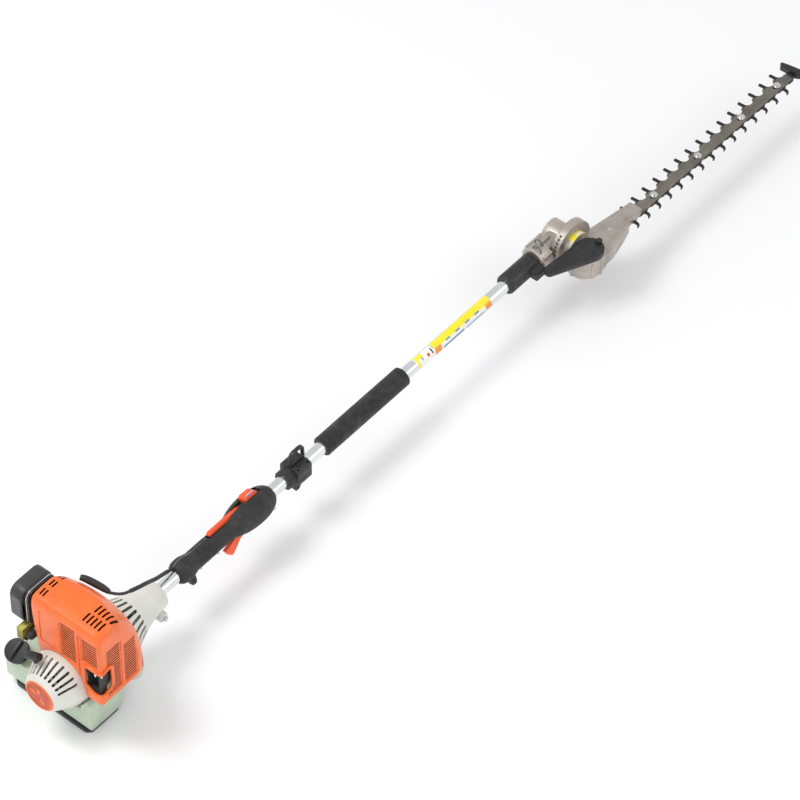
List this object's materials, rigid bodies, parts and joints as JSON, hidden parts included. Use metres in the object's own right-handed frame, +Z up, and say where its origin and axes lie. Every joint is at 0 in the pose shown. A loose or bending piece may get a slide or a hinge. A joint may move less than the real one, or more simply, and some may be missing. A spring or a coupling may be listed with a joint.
{
  "type": "pole hedge trimmer",
  "caption": "Long-reach petrol hedge trimmer: engine on a tank stand, shaft with throttle handle and foam grip, tilting gearhead and double-sided reciprocating cutter bar.",
  "frame": {"origin": "on the flat underside of the tank stand, on the floor, below the crankshaft", "axes": "+X forward along the shaft to the cutter tip, +Y to the operator's left, +Z up"},
  "size_m": [2.115, 0.2405, 0.29],
  "materials": {
    "orange_shell": "satin moulded, lightly worn",
    "orange_trim": "satin",
    "pale_shell": "satin light grey moulded",
    "tank_plastic": "translucent milky, greenish",
    "black_plastic": "fine grained",
    "dark_grey_plastic": "satin",
    "handle_rubber": "soft, textured",
    "foam": "open-cell foam",
    "black_rubber": "matt",
    "cast_alloy": "sand cast, bead blasted",
    "tube_alloy": "drawn, anodised",
    "carb_metal": "yellow passivated",
    "blade_steel": "ground, oiled",
    "bright_steel": "plated",
    "dark_steel": "oiled",
    "rope_fibre": "braided",
    "filter_felt": "felt",
    "ceramic": "glazed"
  },
  "bodies": {
    "frame": {"crankcase": "cast_alloy", "cylinder_barrel": "cast_alloy", "spark_plug": "ceramic", "plug_boot": "black_rubber", "ignition_module": "black_plastic", "muffler": "dark_steel", "exhaust_deflector": "black_plastic", "engine_shroud": "orange_shell", "starter_cover": "pale_shell", "starter_badge": "orange_trim", "recoil_spring": "dark_steel", "clutch_housing": "pale_shell", "fuel_tank": "tank_plastic", "tank_stand": "dark_grey_plastic", "intake_flange": "black_plastic", "carburettor": "carb_metal", "filter_base": "black_plastic", "filter_element": "filter_felt", "filter_cover": "dark_grey_plastic", "clamp_screw": "bright_steel", "shaft_tube": "tube_alloy", "shaft_bushes": "black_rubber", "handle_left": "handle_rubber", "handle_right": "handle_rubber", "handle_screws": "bright_steel", "throttle_cable": "black_rubber", "cable_boot": "black_rubber", "ring_clamp": "black_plastic", "carrying_ring": "black_plastic", "foam_grip": "foam", "gear_housing": "cast_alloy", "lock_spring": "bright_steel"},
    "crank": {"crankshaft": "bright_steel", "flywheel": "cast_alloy", "clutch_shoes": "dark_steel"},
    "piston": {"piston": "cast_alloy"},
    "starter_reel": {"starter_pulley": "black_plastic", "starter_rope": "rope_fibre"},
    "starter_pull": {"starter_grip": "black_plastic", "rope_lead": "rope_fibre"},
    "cap": {"fuel_cap": "black_plastic"},
    "choke": {"choke_lever": "black_plastic"},
    "primer": {"primer_bulb": "black_rubber"},
    "trigger": {"throttle_trigger": "orange_trim"},
    "lockout": {"lockout_lever": "orange_trim"},
    "switch": {"stop_switch": "orange_trim"},
    "driveline": {"clutch_drum": "dark_steel", "drive_shaft": "bright_steel", "bevel_pinion": "dark_steel"},
    "cross_shaft": {"bevel_gear": "dark_steel"},
    "lock": {"lock_sleeve": "black_plastic", "lock_bolt": "bright_steel"},
    "swivel": {"swivel_housing": "cast_alloy", "adjusting_lever": "black_plastic", "guide_bar": "dark_steel", "bar_screws": "bright_steel", "tip_guard": "black_plastic"},
    "eccentric": {"eccentric_gear": "dark_steel"},
    "blade_top": {"upper_blade": "blade_steel"},
    "blade_bottom": {"lower_blade": "blade_steel"}
  },
  "joints": [
    {"name": "crank_spin", "type": "hinge", "parent": "frame", "child": "crank", "pos_m": [0, 0, 0.115], "axis": [1, 0, 0], "continuous": true},
    {"name": "piston_slide", "type": "slide", "parent": "frame", "child": "piston", "axis": [0, 0, 1], "range_m": [0, 0.024]},
    {"name": "starter_pull_slide", "type": "slide", "parent": "frame", "child": "starter_pull", "axis": [0, 0.4848, 0.8746], "range_m": [0, 0.7], "stiffness_N_per_m": 15, "springref_m": -0.6, "deforming": ["rope_lead"]},
    {"name": "reel_spin", "type": "hinge", "parent": "frame", "child": "starter_reel", "pos_m": [-0.075, 0, 0.115], "axis": [1, 0, 0], "continuous": true},
    {"name": "cap_turn", "type": "hinge", "parent": "frame", "child": "cap", "pos_m": [-0.024, 0.116, 0.065], "axis": [-0.5, 0, 0.866], "range_deg": [0, 540]},
    {"name": "choke_turn", "type": "hinge", "parent": "frame", "child": "choke", "pos_m": [-0.018, 0.078, 0.173], "axis": [0, 1, 0], "range_deg": [0, 30]},
    {"name": "primer_push", "type": "slide", "parent": "frame", "child": "primer", "axis": [1, 0, 0], "range_m": [0, 0.0045], "stiffness_N_per_m": 900, "springref_m": -0.001},
    {"name": "trigger_squeeze", "type": "hinge", "parent": "frame", "child": "trigger", "pos_m": [0.432, -0.00684, 0.09621], "axis": [0, 0.9397, -0.342], "range_deg": [0, 16], "stiffness_Nm_per_rad": 0.6, "springref_deg": -20.05},
    {"name": "lockout_press", "type": "hinge", "parent": "frame", "child": "lockout", "pos_m": [0.44, 0.00616, 0.13191], "axis": [0, 0.9397, -0.342], "range_deg": [-4, 0], "stiffness_Nm_per_rad": 2, "springref_deg": 6.88},
    {"name": "switch_slide", "type": "slide", "parent": "frame", "child": "switch", "axis": [1, 0, 0], "range_m": [0, 0.006]},
    {"name": "drive_spin", "type": "hinge", "parent": "frame", "child": "driveline", "pos_m": [0.7, 0, 0.115], "axis": [1, 0, 0], "continuous": true},
    {"name": "cross_spin", "type": "hinge", "parent": "frame", "child": "cross_shaft", "pos_m": [1.35, 0, 0.115], "axis": [0, 1, 0], "continuous": true},
    {"name": "lock_slide", "type": "slide", "parent": "frame", "child": "lock", "axis": [-1, 0, 0], "range_m": [0, 0.012], "stiffness_N_per_m": 1200, "springref_m": -0.01, "deforming": ["lock_spring"]},
    {"name": "blade_tilt", "type": "hinge", "parent": "frame", "child": "swivel", "pos_m": [1.35, 0, 0.115], "axis": [0, 1, 0], "range_deg": [-54, 90]},
    {"name": "eccentric_spin", "type": "hinge", "parent": "swivel", "child": "eccentric", "pos_m": [1.35, -0.06, 0.103], "axis": [0, 0, 1], "continuous": true},
    {"name": "top_blade_slide", "type": "slide", "parent": "swivel", "child": "blade_top", "axis": [1, 0, 0], "range_m": [-0.0065, 0.0065]},
    {"name": "bottom_blade_slide", "type": "slide", "parent": "swivel", "child": "blade_bottom", "axis": [1, 0, 0], "range_m": [-0.0065, 0.0065]}
  ],
  "couplings": [
    {"joint": "reel_spin", "follows": "starter_pull_slide", "rad_per_m": -38.2},
    {"joint": "cross_spin", "follows": "drive_spin", "ratio": 0.75},
    {"joint": "eccentric_spin", "follows": "drive_spin", "ratio": 0.4},
    {"joint": "bottom_blade_slide", "follows": "top_blade_slide", "ratio": -1}
  ]
}
